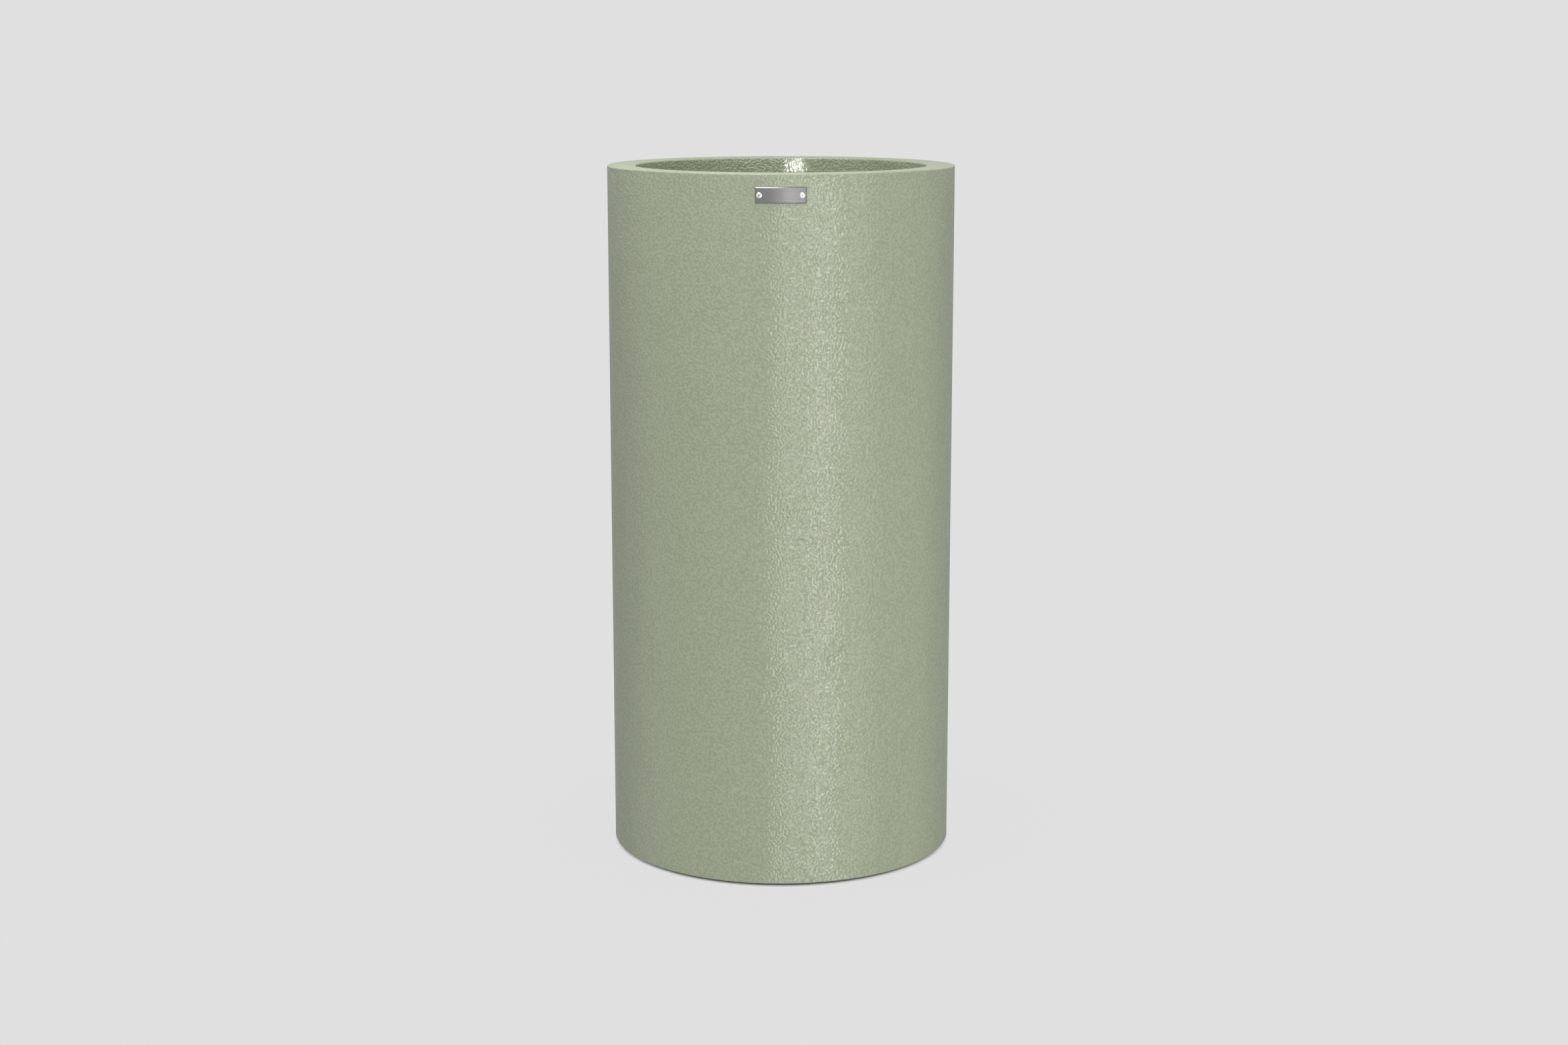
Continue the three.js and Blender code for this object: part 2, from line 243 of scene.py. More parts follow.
def wallFinish():
    # stippled sage paint outside, over the rim and down the mouth
    # further in, overspray thins out downwards over the bare laminate
    look = {
        "pale": tint(157, 166, 139),
        "deep": tint(146, 155, 128),
        "gloss": 1.75,
        "grain": 3.2 * mm,
        "grainDepth": 0.68 * mm,
        "patch": 100 * mm,
        "patchDepth": 4 * mm,
        "roughness": 0.14,
        "patchRoughness": 0.14,
        "rimDulled": 0.3,
        "dulledDown": 1.2 * mm,
        "paintedIn": 1.5 * mm,
        "paintedDown": 5.5 * mm,
        "mouthPaint": 2.5 * mm,
        "fade": 1 * mm,
        "oversprayTop": 0.94,
        "oversprayFoot": 0.80,
        "speck": 4 * mm,
        "speckCut": (0.75, 1.0),
        "sprayShare": 0.9,
        "strandShare": 0.2,
        "laminateDepth": 1 * mm,
    }
    finish, wiring = finishNamed("stippledSagePaint")
    place = wiring.place()
    radius = wiring.fromAxis(place)
    height = wiring.upAxis(place)
    fade = look["fade"]

    # where the paint went
    wallPaint = boreRadius + look["paintedIn"]
    rimPaint = rimTop - look["paintedDown"]
    mouthPaint = mouthRadius + look["mouthPaint"]
    outside = wiring.ease(radius, wallPaint, wallPaint + fade)
    rim = wiring.ease(height, rimPaint, rimPaint + fade)
    inMouth = 1 - wiring.ease(radius, mouthPaint, mouthPaint + fade)
    mouth = inMouth * wiring.ease(height, skirtFoot - fade, skirtFoot)
    coated = outside.larger(rim).larger(mouth)
    sprayed = wiring.ease(height, look["oversprayFoot"], look["oversprayTop"])
    specks = wiring.cloud(place, look["speck"]) + sprayed * look["sprayShare"]
    painted = coated.larger(wiring.ease(specks, *look["speckCut"]))

    grain = wiring.cloud(place, look["grain"], detail=0.0)
    patches = wiring.cloud(place, look["patch"], detail=3.0, rough=0.55)
    sage = wiring.blend(wiring.ease(grain), look["deep"], look["pale"])
    bare, bareRoughness, strands, lumps = rawLaminate(wiring, place)
    dullFoot = rimTop - look["dulledDown"]
    dulled = wiring.ease(height, dullFoot, dullFoot + fade) * look["rimDulled"]
    sageRoughness = look["roughness"] + (patches - 0.5) * look["patchRoughness"] + dulled
    roughness = painted * sageRoughness + (1 - painted) * bareRoughness
    fibres = (strands * look["strandShare"] + lumps) * (1 - coated)
    relief = wiring.raised(patches, look["patchDepth"])
    relief = wiring.raised(grain * painted, look["grainDepth"], relief)
    relief = wiring.raised(fibres, look["laminateDepth"], relief)
    colour = wiring.blend(painted, bare, sage)
    varied = {"Base Color": colour, "Roughness": roughness, "Normal": relief}
    wiring.surface({"IOR": look["gloss"]}, varied)
    return finish


def rubberFinish():
    look = {
        "rubber": tint(36, 36, 36),
        "dusty": tint(62, 61, 58),
        "gloss": 1.5,
        "dustSize": 9 * mm,
        "dustCut": (0.4, 0.75),
        "pore": 0.7 * mm,
        "poreDepth": 0.06 * mm,
        "roughness": 0.55,
        "dustRoughness": 0.2,
        "poreRoughness": 0.15,
    }
    finish, wiring = finishNamed("blackRubber")
    place = wiring.place()
    dust = wiring.ease(wiring.cloud(place, look["dustSize"], detail=3.0), *look["dustCut"])
    pores = wiring.cloud(place, look["pore"], detail=1.0)
    roughness = look["roughness"] + dust * look["dustRoughness"] + pores * look["poreRoughness"]
    varied = {
        "Base Color": wiring.blend(dust, look["rubber"], look["dusty"]),
        "Roughness": roughness,
        "Normal": wiring.raised(pores, look["poreDepth"]),
    }
    wiring.surface({"IOR": look["gloss"]}, varied)
    return finish


def brushedFinish():
    look = {
        "bright": (0.268, 0.265, 0.263, 1),
        "dull": (0.176, 0.174, 0.172, 1),
        "stroke": 0.3 * mm,
        "strokeRun": (0.02, 0.02, 1),
        "strokeDepth": 0.015 * mm,
        "smear": 14 * mm,
        "bevelBack": 0.3 * mm,
        "bevelTop": 0.1 * mm,
        "roughness": 0.3,
        "bevelled": 0.15,
        "smearRoughness": 0.1,
        "strokeRoughness": 0.12,
    }
    finish, wiring = finishNamed("brushedStainless")
    place = wiring.place()
    # the bevel, which starts just behind the face, is cut bright
    bevelBack = plateFront - look["bevelBack"]
    bevelTop = plateFront - look["bevelTop"]
    face = wiring.ease(wiring.fromAxis(place), bevelBack, bevelTop)
    run = wiring.stretched(place, look["strokeRun"])
    strokes = wiring.cloud(run, look["stroke"], detail=3.0, rough=0.7)
    smears = wiring.cloud(place, look["smear"])
    roughness = look["roughness"] - (1 - face) * look["bevelled"]
    roughness = roughness + (smears - 0.5) * look["smearRoughness"]
    roughness = roughness + (strokes - 0.5) * look["strokeRoughness"]
    varied = {
        "Base Color": wiring.blend(strokes, look["dull"], look["bright"]),
        "Roughness": roughness,
        "Normal": wiring.raised(strokes, look["strokeDepth"]),
    }
    wiring.surface({"Metallic": 1.0}, varied)
    return finish


def scuffedFinish(name, look):
    finish, wiring = finishNamed(name)
    scuffs = wiring.cloud(wiring.place(), look["scuff"], detail=3.0)
    varied = {
        "Base Color": wiring.blend(wiring.ease(scuffs), look["dull"], look["bright"]),
        "Roughness": look["roughness"] + (scuffs - 0.5) * look["scuffRoughness"],
        "Normal": wiring.raised(scuffs, look["scuffDepth"]),
    }
    wiring.surface({"Metallic": 1.0}, varied)
    return finish


rivetMetal = {
    "bright": (0.88, 0.88, 0.88, 1),
    "dull": (0.72, 0.72, 0.72, 1),
    "roughness": 0.28,
    "scuff": 1.2 * mm,
    "scuffRoughness": 0.2,
    "scuffDepth": 0.02 * mm,
}
screwMetal = {
    "bright": (0.52, 0.52, 0.50, 1),
    "dull": (0.34, 0.34, 0.33, 1),
    "roughness": 0.36,
    "scuff": 2 * mm,
    "scuffRoughness": 0.2,
    "scuffDepth": 0.02 * mm,
}
paint = wallFinish()
laminated = laminateFinish()
rubber = rubberFinish()
stainless = brushedFinish()
aluminium = scuffedFinish("rivetAluminium", rivetMetal)
zinc = scuffedFinish("zincPlatedSteel", screwMetal)
print("finishes mixed")


# points closer than this are one point
tiny = 1e-7


def rounded(corners, arcSteps=6):
    # the closed outline through corners (x, y, radius), each rounded by an arc of that radius
    outline = []
    for i, (x, y, *radius) in enumerate(corners):
        corner = Vector((x, y))
        if not radius:
            outline.append(corner)
            continue
        before = (Vector(corners[i - 1][:2]) - corner).normalized()
        after = (Vector(corners[(i + 1) % len(corners)][:2]) - corner).normalized()
        half = before.angle(after) / 2
        centre = corner + (before + after).normalized() * radius[0] / math.sin(half)
        start = corner + before * radius[0] / math.tan(half) - centre
        end = corner + after * radius[0] / math.tan(half) - centre
        turn = -start.angle_signed(end)
        for step in range(arcSteps + 1):
            outline.append(centre + Matrix.Rotation(turn * step / arcSteps, 2) @ start)
    return [point for i, point in enumerate(outline) if (point - outline[i - 1]).length > tiny]


def divided(outline, longest):
    # the same outline with its long stretches cut into shorter ones
    finer = []
    for i, point in enumerate(outline):
        after = outline[(i + 1) % len(outline)]
        cuts = max(1, round((after - point).length / longest))
        finer += [point.lerp(after, cut / cuts) for cut in range(cuts)]
    return finer


def closed(mesh):
    bmesh.ops.remove_doubles(mesh, verts=mesh.verts, dist=tiny)
    bmesh.ops.recalc_face_normals(mesh, faces=mesh.faces)
    return mesh


def turned(outline, segments):
    # a solid of revolution about the Z axis, from a closed outline of (radius, height)
    mesh = bmesh.new()
    angles = [math.tau * k / segments for k in range(segments)]
    rings = []
    for radius, height in outline:
        if radius < tiny:
            rings.append([mesh.verts.new((0, 0, height))] * segments)
            continue
        ring = [(radius * math.sin(angle), -radius * math.cos(angle), height) for angle in angles]
        rings.append([mesh.verts.new(point) for point in ring])
    for i, ring in enumerate(rings):
        for k in range(segments):
            corners = dict.fromkeys((rings[i - 1][k - 1], rings[i - 1][k], ring[k], ring[k - 1]))
            if len(corners) > 2:
                mesh.faces.new(corners)
    return closed(mesh)


def lofted(rings):
    # a solid through rings of equally many points, with a cap at each end
    mesh = bmesh.new()
    made = [[mesh.verts.new(point) for point in ring] for ring in rings]
    for first, second in zip(made, made[1:]):
        for k in range(len(first)):
            mesh.faces.new((first[k - 1], first[k], second[k], second[k - 1]))
    mesh.faces.new(made[0])
    mesh.faces.new(made[-1])
    return closed(mesh)


def moved(mesh, *steps):
    for step in steps:
        mesh.transform(step)
    return mesh


def spin(degrees):
    return Matrix.Rotation(math.radians(degrees), 4, "Z")


def shift(x, y, z):
    return Matrix.Translation((x, y, z))


def around(count, start=0):
    return [start + 360 * k / count for k in range(count)]


def looseObject(name, mesh):
    data = bpy.data.meshes.new(name)
    mesh.to_mesh(data)
    mesh.free()
    loose = bpy.data.objects.new(name, data)
    studio.collection.objects.link(loose)
    return loose


def worked(body, adds=(), cuts=()):
    # the body with each of the adds joined to it and each of the cuts taken out of it
    work = looseObject("work", body)
    tools = []
    for operation, meshes in (("UNION", adds), ("DIFFERENCE", cuts)):
        for mesh in meshes:
            tools.append(looseObject("tool", mesh))
            step = work.modifiers.new("step", "BOOLEAN")
            step.operation = operation
            step.solver = "MANIFOLD"
            step.object = tools[-1]
    depsgraph = bpy.context.evaluated_depsgraph_get()
    result = bpy.data.meshes.new_from_object(work.evaluated_get(depsgraph))
    mesh = bmesh.new()
    mesh.from_mesh(result)
    for spare in (work, *tools):
        bpy.data.meshes.remove(spare.data)
    bpy.data.meshes.remove(result)
    return mesh


def piece(name, mesh, finish, body, slot, *nodes, sharp=32):
    made = looseObject(name, mesh)
    made.data.materials.append(finish)
    for face in made.data.polygons:
        face.use_smooth = True
    made.data.set_sharp_from_angle(angle=math.radians(sharp))
    even = made.modifiers.new("even", "WEIGHTED_NORMAL")
    even.keep_sharp = True
    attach(made, body)
    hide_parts(*nodes)


# the plate and its rivets stand square to the wall
plateHeight = (plateLow.z + plateHigh.z) / 2
rivetSpacing = 58.4 * mm
grip = plateFront - boreRadius


def inPlate(side):
    # from a rivet's own frame, head up and the plate's face at 0, to its place in the plate
    lean = math.degrees(math.asin(rivetSpacing / 2 / plateFront))
    forward = Matrix.Rotation(math.pi / 2, 4, "X")
    return spin(side * lean) @ shift(0, -plateFront, plateHeight) @ forward


def rivetHoles():
    hole = {"radius": 2.3 * mm, "over": 3 * mm, "segments": 32}
    outline = [
        Vector((0, hole["over"])),
        Vector((hole["radius"], hole["over"])),
        Vector((hole["radius"], -grip - hole["over"])),
        Vector((0, -grip - hole["over"])),
    ]
    return [moved(turned(outline, hole["segments"]), inPlate(side)) for side in (-1, 1)]


def mouldedWall():
    shape = {
        "segments": 288,
        "row": 14 * mm,
        "footEdge": 2 * mm,
        "rimEdge": 1.6 * mm,
        "mouthEdge": 2.5 * mm,
        "cutEdge": 1.5 * mm,
        "innerBend": 4 * mm,
        "lump": 0.45 * mm,
        "lumpSize": 32 * mm,
        "lumpsClear": 12 * mm,
        "onBore": 0.1 * mm,
    }
    ceiling = rimTop - laminate
    corners = [
        (outerRadius, wallLow.z, shape["footEdge"]),
        (outerRadius, rimTop, shape["rimEdge"]),
        (mouthRadius, rimTop, shape["mouthEdge"]),
        (mouthRadius, skirtFoot, shape["cutEdge"]),
        (mouthRadius + laminate, skirtFoot, shape["cutEdge"]),
        (mouthRadius + laminate, ceiling, shape["innerBend"]),
        (boreRadius, ceiling, shape["innerBend"]),
        (boreRadius, wallLow.z, shape["cutEdge"]),
    ]
    mesh = turned(divided(rounded(corners), shape["row"]), shape["segments"])
    # the laminate side, rolled out by hand, is a little lumpy
    for vert in mesh.verts:
        outward = Vector((vert.co.x, vert.co.y, 0))
        if abs(outward.length - boreRadius) < shape["onBore"]:
            ends = min(vert.co.z - wallLow.z, ceiling - vert.co.z)
            rise = noise.noise(vert.co / shape["lumpSize"]) * min(1, ends / shape["lumpsClear"])
            vert.co -= outward.normalized() * shape["lump"] * (0.5 + rise)
    mesh = worked(mesh, cuts=rivetHoles())
    piece("mouldedWall", mesh, paint, "shell", "sage_paint", "outer_shell")


mouldedWall()
print("wall moulded")


# what is joined on or cut out reaches this far past a face, so that no two faces coincide
past = 1 * mm
# and a cutter's rounded edge stands this much above the face
skim = 0.02 * mm


def rootOf(foot, tip):
    # where a rib or boss ends inside its panel
    return foot - math.copysign(past, tip - foot)


def ribSection(shape, foot, tip, share):
    # a moulded rib cut across at that share of its height:
    # wide where it grows out of its panel, rounded at its tip
    fillet = shape["fillet"] * share
    half = shape["width"] / 2
    side = [
        (half + fillet, rootOf(foot, tip)),
        (half + fillet, foot),
        (half, foot, fillet),
        (half, foot + (tip - foot) * share, shape["edge"] * share),
    ]
    mirrored = [(-x, *rest) for x, *rest in reversed(side)]
    return rounded(side + mirrored, arcSteps=4)


def rib(shape, start, end, foot, tip):
    # runs out from the axis along X, and ramps up to its height over the first stretch
    lowEnd = 0.1
    rings = []
    for along, share in ((start, lowEnd), (start + shape["ramp"], 1.0), (end, 1.0)):
        section = ribSection(shape, foot, tip, share)
        rings.append([(along, across, height) for across, height in section])
    return lofted(rings)


def boss(shape, foot, tip):
    segments = 64
    radius, fillet = shape["radius"], shape["fillet"]
    corners = [
        (0, rootOf(foot, tip)),
        (radius + fillet, rootOf(foot, tip)),
        (radius + fillet, foot),
        (radius, foot, fillet),
        (radius, tip, shape["edge"]),
        (0, tip),
    ]
    return turned(rounded(corners), segments)


def drill(radius, low, high, flare):
    # a round cutter that rounds over the hole's top edge by the flare
    segments = 32
    corners = [
        (0, low - past),
        (radius, low - past),
        (radius, high + skim, flare),
        (radius + flare, high + skim),
        (radius + flare, high + past),
        (0, high + past),
    ]
    return turned(rounded(corners), segments)


def slotRing(length, width, height):
    # a slot's outline with round ends, its length along X
    steps = 12
    ring = []
    for side in (1, -1):
        for step in range(steps + 1):
            angle = math.pi * (step / steps - 0.5)
            x = (length - width) / 2 + width / 2 * math.cos(angle)
            ring.append((side * x, side * width / 2 * math.sin(angle), height))
    return ring


def slotCutter(length, width, low, high, flare):
    # a slotted cutter that rounds over the hole's top edge by the flare
    steps = 6
    rings = [slotRing(length, width, low - past)]
    for step in range(steps + 1):
        turn = math.pi / 2 * step / steps
        grow = 2 * flare * (1 - math.cos(turn))
        height = high + skim - flare * (1 - math.sin(turn))
        rings.append(slotRing(length + grow, width + grow, height))
    rings.append(slotRing(length + 2 * flare, width + 2 * flare, high + past))
    return lofted(rings)


def basePanel():
    shape = {
        "segments": 160,
        "row": 20 * mm,
        "floor": 6 * mm,
        "drain": 14 * mm,
        "drainEdge": 2 * mm,
        "underEdge": 3 * mm,
        "innerBend": 6 * mm,
        "edge": 0.8 * mm,
        "rise": 8 * mm,
        "footCircle": 200 * mm,
        "screwHole": 2.7 * mm,
        "screwDepth": 12 * mm,
        "screwFlare": 0.6 * mm,
    }
    stiffener = {"width": 10 * mm, "fillet": 3 * mm, "edge": 2 * mm, "ramp": 6 * mm}
    stand = {"radius": 15 * mm, "fillet": 3 * mm, "edge": 2 * mm}
    under = baseLow.z
    top = under + shape["floor"]
    tip = top + shape["rise"]
    corners = [
        (shape["drain"], under, shape["edge"]),
        (bondRadius, under, shape["underEdge"]),
        (bondRadius, baseHigh.z, shape["edge"]),
        (bondRadius - laminate, baseHigh.z, shape["edge"]),
        (bondRadius - laminate, top, shape["innerBend"]),
        (shape["drain"], top, shape["drainEdge"]),
    ]
    pan = turned(divided(rounded(corners), shape["row"]), shape["segments"])
    # the screw holes are flared below, so their cutter is turned over
    turnedOver = Matrix.Scale(-1, 4, (0, 0, 1))
    adds = []
    cuts = []
    for angle in around(4, 45):
        toFoot = spin(angle) @ shift(shape["footCircle"], 0, 0)
        strut = rib(stiffener, 3 * shape["drain"], shape["footCircle"], top, tip)
        hole = drill(shape["screwHole"], -under - shape["screwDepth"], -under, shape["screwFlare"])
        adds.append(moved(strut, spin(angle)))
        adds.append(moved(boss(stand, top, tip), toFoot))
        cuts.append(moved(hole, turnedOver, toFoot))
    mesh = worked(pan, adds, cuts)
    piece("basePanel", mesh, laminated, "shell", "raw_laminate", "base_panel")


def rubberFoot(number):
    low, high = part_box(f"rubber_foot_{number}")
    middle = (low + high) / 2
    shape = {
        "segments": 72,
        "sole": 18 * mm,
        "soleEdge": 1.5 * mm,
        "top": 20 * mm,
        "recess": 8 * mm,
        "recessDepth": 7 * mm,
        "mouldEdge": 0.8 * mm,
        "lip": 0.4 * mm,
        "screwHole": 2.7 * mm,
        "holeEdge": 0.3 * mm,
    }
    corners = [
        (shape["recess"], 0, shape["lip"]),
        (shape["sole"], 0, shape["soleEdge"]),
        (shape["top"], high.z, shape["mouldEdge"]),
        (shape["screwHole"], high.z, shape["holeEdge"]),
        (shape["screwHole"], shape["recessDepth"], shape["holeEdge"]),
        (shape["recess"], shape["recessDepth"], shape["mouldEdge"]),
    ]
    mesh = moved(turned(rounded(corners), shape["segments"]), shift(middle.x, middle.y, 0))
    piece(f"rubberFoot{number}", mesh, rubber, "shell", "black_rubber", f"rubber_foot_{number}")


def footScrew(number):
    low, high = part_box(f"foot_screw_{number}")
    middle = (low + high) / 2
    shape = {
        "segments": 48,
        "shank": 2.4 * mm,
        "shankTip": 0.3 * mm,
        "head": 4.6 * mm,
        "headHeight": 3 * mm,
        "crown": 1.6 * mm,
        "edge": 0.2 * mm,
        "recess": 1.8 * mm,
        # how the cross narrows: the share of the recess's depth, half the reach, half the width
        "cross": ((-1, 3.1 * mm, 0.66 * mm), (0, 2.9 * mm, 0.605 * mm), (1, 1.1 * mm, 0.33 * mm)),
    }
    underHead = low.z + shape["headHeight"]
    corners = [
        (0, high.z),
        (0, low.z),
        (shape["head"], low.z, shape["crown"]),
        (shape["head"], underHead, shape["edge"]),
        (shape["shank"], underHead, shape["edge"]),
        (shape["shank"], high.z - shape["shank"], shape["shankTip"]),
    ]
    cross = []
    for angle in (0, 90):
        rings = []
        for share, reach, width in shape["cross"]:
            height = low.z + share * shape["recess"]
            quarters = ((-1, -1), (1, -1), (1, 1), (-1, 1))
            rings.append([(x * reach, y * width, height) for x, y in quarters])
        cross.append(moved(lofted(rings), spin(angle)))
    mesh = worked(turned(rounded(corners), shape["segments"]), cuts=cross)
    mesh = moved(mesh, shift(middle.x, middle.y, 0))
    piece(f"footScrew{number}", mesh, zinc, "shell", "zinc_steel", f"foot_screw_{number}")


def drainBung():
    low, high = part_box("drain_bung")
    shape = {
        "segments": 96,
        "gap": 0.3 * mm,
        "flange": 21 * mm,
        "flangeUnder": 16 * mm,
        "flangeHeight": 4 * mm,
        "flangeBevel": 1.5 * mm,
        # the plug and its two sealing ribs: radius, height above the seat, rounding
        "plug": (
            (12.4 * mm, 0, 0.3 * mm),
            (12.4 * mm, 2 * mm, 0.3 * mm),
            (13.6 * mm, 3 * mm, 0.5 * mm),
            (13.6 * mm, 5 * mm, 0.5 * mm),
            (12.4 * mm, 7 * mm, 0.5 * mm),
            (12.4 * mm, 10 * mm, 0.5 * mm),
            (13.6 * mm, 11 * mm, 0.5 * mm),
        ),
        "mouthOuter": 11.4 * mm,
        "mouthInner": 8.4 * mm,
        "mouthEdge": 0.8 * mm,
        "hollowFloor": 3 * mm,
        "finLength": 21 * mm,
        "finWidth": 3 * mm,
        # how the fin's lower edge is rounded: how far in, how far up
        "fin": ((0.9 * mm, 0), (0.35 * mm, 0.25 * mm), (0, 0.9 * mm), (0, 6.5 * mm)),
    }
    seat = baseLow.z - shape["gap"]
    under = seat - shape["flangeHeight"]
    corners = [
        (0, under),
        (shape["flangeUnder"], under, 3 * mm),
        (shape["flange"], under + shape["flangeBevel"], 1 * mm),
        (shape["flange"], seat, 0.6 * mm),
        *((radius, seat + height, edge) for radius, height, edge in shape["plug"]),
        (shape["mouthOuter"], high.z, shape["mouthEdge"]),
        (shape["mouthInner"], high.z, shape["mouthEdge"]),
        (shape["mouthInner"], seat + shape["hollowFloor"], 1.5 * mm),
        (0, seat + shape["hollowFloor"]),
    ]
    fin = []
    for inset, height in shape["fin"]:
        length = shape["finLength"] - 2 * inset
        width = shape["finWidth"] - 2 * inset
        fin.append(slotRing(length, width, low.z + height))
    mesh = worked(turned(rounded(corners), shape["segments"]), adds=[lofted(fin)])
    piece("drainBung", mesh, rubber, "bung", "black_rubber", "drain_bung")


basePanel()
for number in (1, 2, 3, 4):
    rubberFoot(number)
    footScrew(number)
drainBung()
print("base, feet and bung made")


ledge = {
    "segments": 160,
    "row": 20 * mm,
    "inner": 188 * mm,
    "lip": 15 * mm,
    "edge": 0.8 * mm,
    "bend": 2 * mm,
    "lipBend": 3 * mm,
    "innerBend": 4 * mm,
}


def shelfLedge():
    top = ledgeHigh.z
    lipFoot = top - ledge["lip"]
    corners = [
        (bondRadius, ledgeLow.z, ledge["edge"]),
        (bondRadius, top, ledge["bend"]),
        (ledge["inner"], top, ledge["lipBend"]),
        (ledge["inner"], lipFoot, ledge["edge"]),
        (ledge["inner"] + laminate, lipFoot, ledge["edge"]),
        (ledge["inner"] + laminate, top - laminate, ledge["bend"]),
        (bondRadius - laminate, top - laminate, ledge["innerBend"]),
        (bondRadius - laminate, ledgeLow.z, ledge["edge"]),
    ]
    mesh = turned(divided(rounded(corners), ledge["row"]), ledge["segments"])
    piece("shelfLedge", mesh, laminated, "shell", "raw_laminate", "shelf_ledge")


def insertShelf():
    shape = {
        "segments": 160,
        "row": 20 * mm,
        "thickness": 8 * mm,
        "topEdge": 2.5 * mm,
        "underEdge": 1.5 * mm,
        "skirtGap": 4 * mm,
        "skirtBend": 3 * mm,
        "skirtEdge": 1.5 * mm,
        "skirtInner": 1 * mm,
        "ribs": 6,
        "ribInHub": 6 * mm,
        "ribInSkirt": 2 * mm,
        "drainHole": 6 * mm,
        "drainFlare": 1.5 * mm,
        # each ring of drain holes: how many, from what angle, how far out
        "drainRings": ((6, 30, 70 * mm), (12, 15, 160 * mm)),
        "slotOut": 128 * mm,
        "slotLength": 84 * mm,
        "slotWidth": 30 * mm,
        "slotFlare": 2.5 * mm,
    }
    stiffener = {"width": 6 * mm, "fillet": 2 * mm, "edge": 1 * mm, "ramp": 1 * mm}
    hub = {"radius": 26 * mm, "fillet": 3 * mm, "edge": 1 * mm}
    top = shelfHigh.z
    foot = shelfLow.z
    under = top - shape["thickness"]
    skirt = ledge["inner"] - shape["skirtGap"]
    corners = [
        (0, under),
        (skirt - laminate, under, shape["skirtBend"]),
        (skirt - laminate, foot, shape["skirtInner"]),
        (skirt, foot, shape["skirtEdge"]),
        (skirt, under, shape["skirtBend"]),
        (shelfHigh.x, under, shape["underEdge"]),
        (shelfHigh.x, top, shape["topEdge"]),
        (0, top),
    ]
    disc = turned(divided(rounded(corners), shape["row"]), shape["segments"])
    # a rib starts inside the hub and ends inside the skirt
    ribStart = hub["radius"] - shape["ribInHub"]
    ribEnd = skirt - shape["ribInSkirt"]
    adds = [boss(hub, under, foot)]
    for angle in around(shape["ribs"]):
        adds.append(moved(rib(stiffener, ribStart, ribEnd, under, foot), spin(angle)))
    cuts = [drill(shape["drainHole"], foot, top, shape["drainFlare"])]
    for count, start, out in shape["drainRings"]:
        for angle in around(count, start):
            hole = drill(shape["drainHole"], foot, top, shape["drainFlare"])
            cuts.append(moved(hole, spin(angle) @ shift(out, 0, 0)))
    for out in (shape["slotOut"], -shape["slotOut"]):
        slot = slotCutter(shape["slotLength"], shape["slotWidth"], foot, top, shape["slotFlare"])
        cuts.append(moved(slot, shift(0, out, 0)))
    mesh = worked(disc, adds, cuts)
    piece("insertShelf", mesh, laminated, "shelf", "raw_laminate", "insert_shelf")


shelfLedge()
insertShelf()
print("ledge and shelf made")


def namePlate():
    shape = {
        "thickness": 1.5 * mm,
        "bevelWidth": 1.3 * mm,
        "bevelDepth": 1 * mm,
        "strips": 32,
        "sharp": 20,
    }
    low, high = plateLow.z, plateHigh.z
    back = plateFront - shape["thickness"]
    shoulder = plateFront - shape["bevelDepth"]
    half = plateHigh.x

    def section(across, face, inset):
        # the plate cut from top to bottom, that far across it
        outline = [
            (back, low),
            (shoulder, low),
            (face, low + inset),
            (face, high - inset),
            (shoulder, high),
            (back, high),
        ]
        angle = across / plateFront
        sine, cosine = math.sin(angle), math.cos(angle)
        return [(radius * sine, -radius * cosine, height) for radius, height in outline]

    inner = half - shape["bevelWidth"]
    rings = [section(-half, shoulder, 0)]
    for k in range(shape["strips"] + 1):
        across = inner * (2 * k / shape["strips"] - 1)
        rings.append(section(across, plateFront, shape["bevelWidth"]))
    rings.append(section(half, shoulder, 0))
    mesh = worked(lofted(rings), cuts=rivetHoles())
    piece("plate", mesh, stainless, "shell", "brushed_stainless", "nameplate", sharp=shape["sharp"])


rivet = {
    "segments": 48,
    "shank": 2 * mm,
    "head": 4 * mm,
    "headHeight": 1.48 * mm,
    "headEdge": 0.4 * mm,
    "dome": 1.2 * mm,
    "domeIn": 1.6 * mm,
    "boreEdge": 0.25 * mm,
    "seat": 0.3 * mm,
    "tail": 4 * mm,
    "neckBulge": 0.8 * mm,
    "midBulge": 1.2 * mm,
    "endBulge": 0.4 * mm,
}
stem = {
    "segments": 32,
    "radius": 1.1 * mm,
    "gap": 0.2 * mm,
    "snapped": 0.6 * mm,
    "dimple": 0.25 * mm,
    "dimpleShare": 0.6,
    "tail": 6.5 * mm,
    "bulb": 0.9 * mm,
}


def rivetBody(name, side, node):
    # a tube with a domed head in front and a bulb pulled up behind the wall
    bore = stem["radius"] + stem["gap"]
    shank, head, seat = rivet["shank"], rivet["head"], rivet["seat"]
    face = seat + rivet["headHeight"]
    end = -grip - rivet["tail"]
    corners = [
        (bore, face, rivet["boreEdge"]),
        (bore, end),
        (shank + rivet["endBulge"], end, 0.4 * mm),
        (shank + rivet["midBulge"], -grip - rivet["tail"] / 2, 0.8 * mm),
        (shank + rivet["neckBulge"], -grip - seat, 0.2 * mm),
        (shank, -grip - seat),
        (shank, seat),
        (head, seat, 0.1 * mm),
        (head, seat + rivet["headEdge"], 0.3 * mm),
        (head - rivet["domeIn"], face, rivet["dome"]),
    ]
    mesh = moved(turned(rounded(corners), rivet["segments"]), inPlate(side))
    piece(name, mesh, aluminium, "shell", "rivet_aluminium", node)


